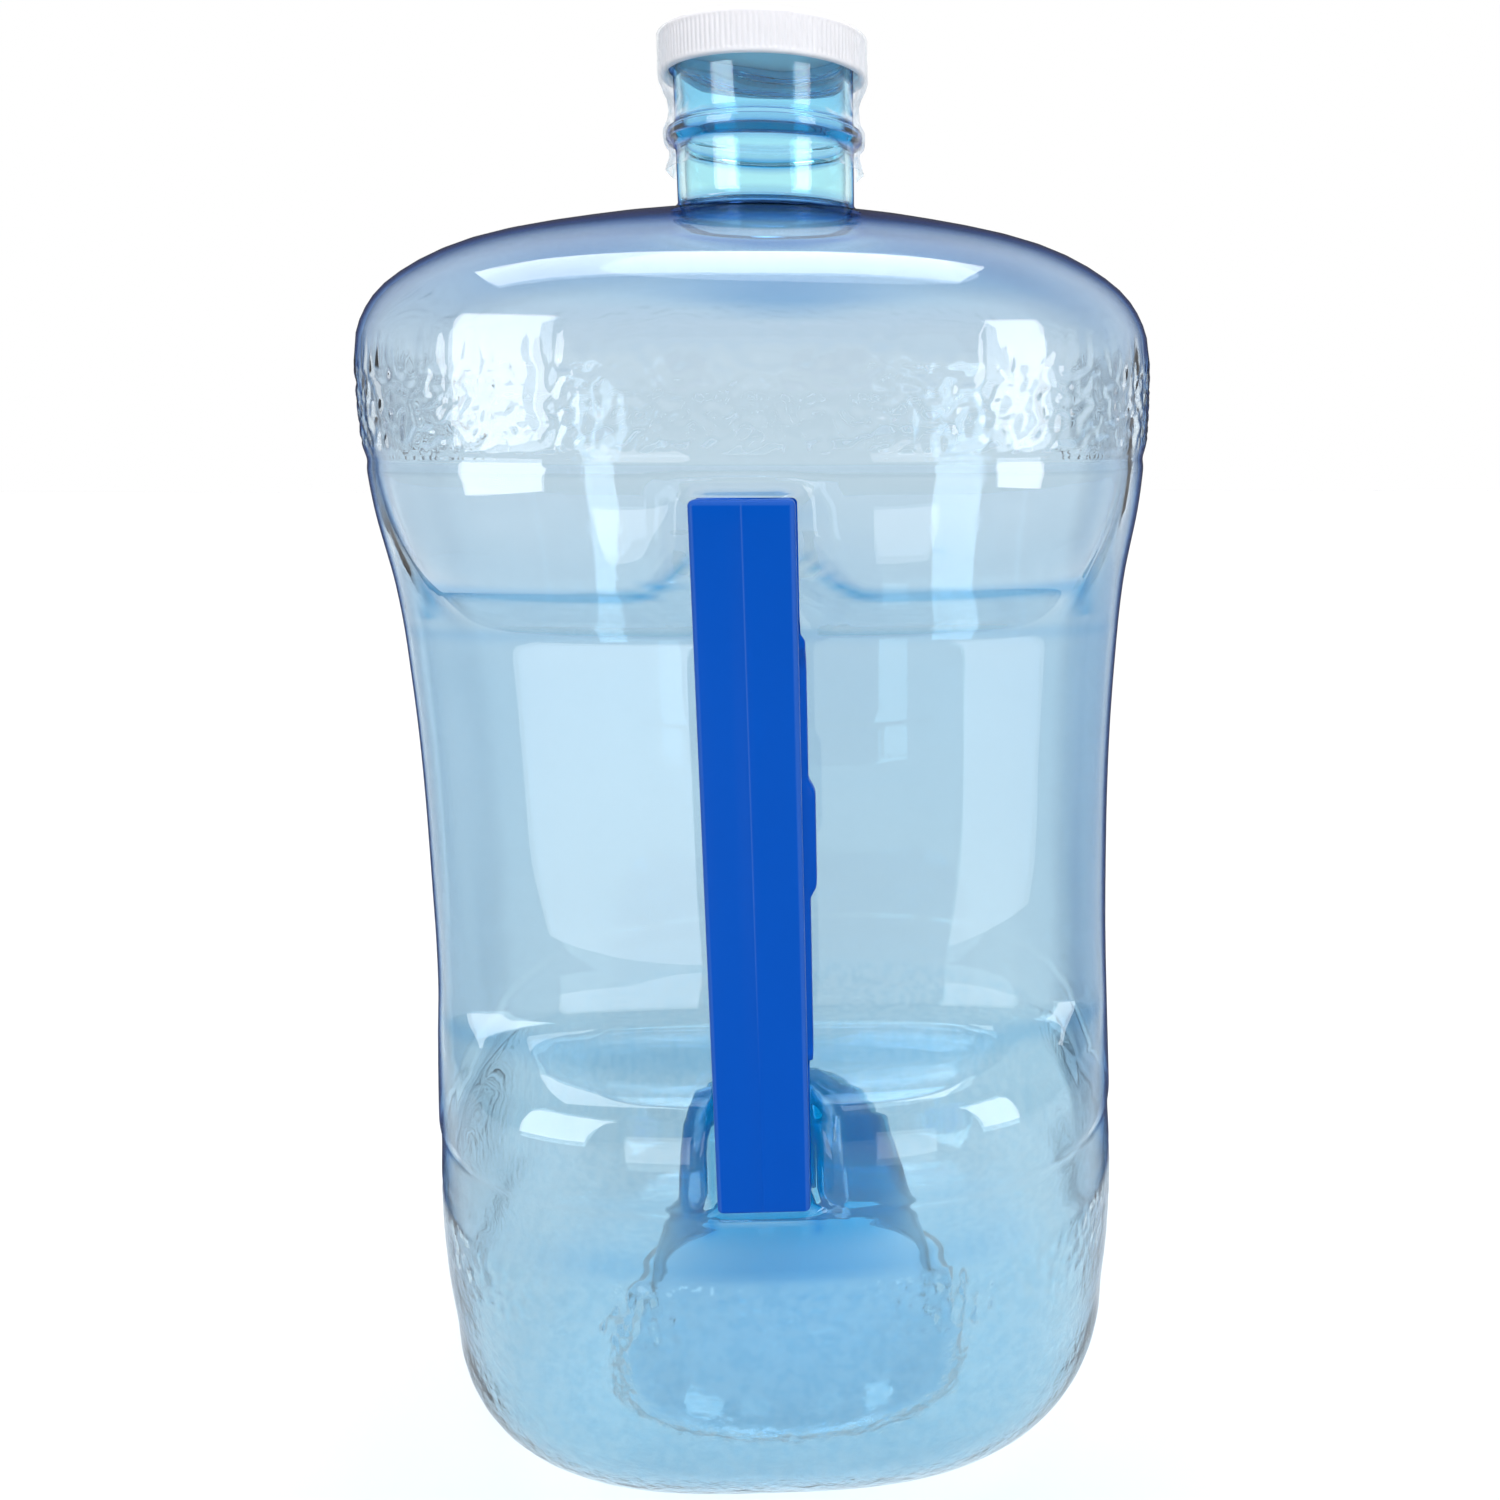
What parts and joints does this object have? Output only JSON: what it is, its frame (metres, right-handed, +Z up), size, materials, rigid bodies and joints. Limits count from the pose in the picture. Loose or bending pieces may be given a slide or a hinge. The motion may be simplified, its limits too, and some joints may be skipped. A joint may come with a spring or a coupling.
{
  "type": "large water jug",
  "caption": "Large clear blue water jug with a rounded square body, a hand recess with a clip-on bar handle, and a ribbed screw cap on a short neck.",
  "frame": {"origin": "centre of the overall box, at the level of the foot the jug stands on", "axes": "+Z up the neck, -Y towards the handle, +X to the right as seen facing the handle"},
  "size_m": [0.212, 0.2168, 0.4103],
  "materials": {
    "bottle": "clear, glossy, tinted light blue",
    "handle": "satin royal blue, opaque",
    "cap": "satin white",
    "liner": "white foam",
    "film": "clear, crinkled"
  },
  "bodies": {
    "bottle": {"bottle_body": "bottle", "handle": "handle", "shrink_band": "film"},
    "liner": {"cap_liner": "liner"},
    "cap": {"screw_cap": "cap"}
  },
  "joints": [
    {"name": "cap_lift", "type": "slide", "parent": "bottle", "child": "liner", "axis": [0, 0, 1], "range_m": [0, 0.0064]},
    {"name": "cap_turn", "type": "hinge", "parent": "liner", "child": "cap", "pos_m": [0, 0.0024, 0.4], "axis": [0, 0, 1], "range_deg": [0, 540]}
  ],
  "couplings": [
    {"joint": "cap_lift", "follows": "cap_turn", "m_per_rad": 0.00067375}
  ]
}
